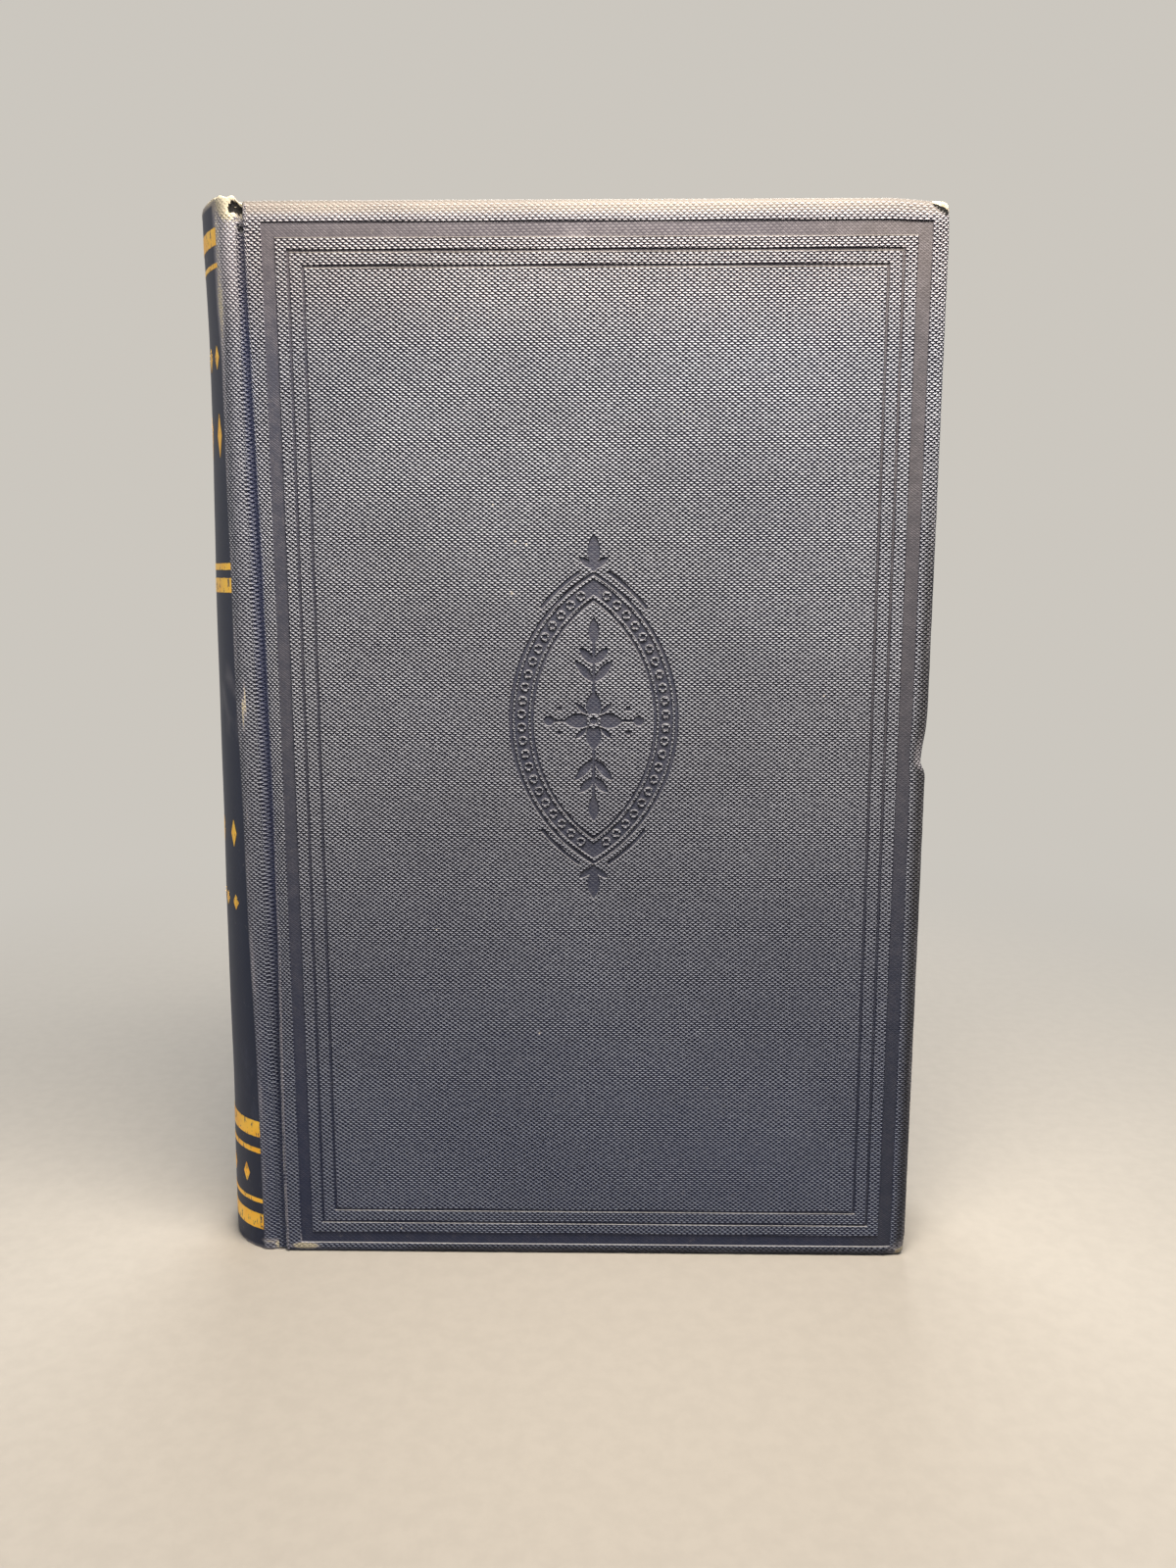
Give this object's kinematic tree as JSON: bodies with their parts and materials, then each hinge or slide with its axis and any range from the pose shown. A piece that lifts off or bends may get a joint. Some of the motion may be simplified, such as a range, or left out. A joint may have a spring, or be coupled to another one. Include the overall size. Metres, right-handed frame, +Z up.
{
  "type": "hardback book",
  "caption": "Closed cloth-bound hardback book, standing upright: rounded spine with gilt lines, joint grooves, stamped frames and an oval ornament; both covers open on their joints.",
  "frame": {"origin": "bottom centre of the closed book's bounding box, on the surface it stands on", "axes": "+Z up along the spine to the head, +X from the spine to the fore-edge, -Y out of the front cover"},
  "size_m": [0.1568, 0.038, 0.228],
  "materials": {
    "pages": "cut edges of aged uncoated paper",
    "mull": "open cotton gauze, glued",
    "lining_paper": "brown paper, glued",
    "endpaper": "plain aged endpaper, matt",
    "board": "grey-brown millboard",
    "book_cloth": "starched navy book cloth with a fine diamond grain, worn satin",
    "gilding": "pressed gold foil, worn"
  },
  "bodies": {
    "book_block": {"text_block": "pages", "spine_mull": "mull", "spine_lining": "lining_paper", "front_flyleaf": "endpaper", "back_flyleaf": "endpaper", "spine_inlay": "board", "spine_cloth": "book_cloth", "spine_gilding": "gilding"},
    "front_cover": {"front_board": "board", "front_cloth": "book_cloth", "front_mull_flap": "mull", "front_pastedown": "endpaper"},
    "back_cover": {"back_board": "board", "back_cloth": "book_cloth", "back_mull_flap": "mull", "back_pastedown": "endpaper"}
  },
  "joints": [
    {"name": "front_joint", "type": "hinge", "parent": "book_block", "child": "front_cover", "pos_m": [-0.0638, -0.0187, 0.114], "axis": [0, 0, -1], "range_deg": [0, 180]},
    {"name": "back_joint", "type": "hinge", "parent": "book_block", "child": "back_cover", "pos_m": [-0.0638, 0.0187, 0.114], "axis": [0, 0, 1], "range_deg": [0, 180]}
  ]
}
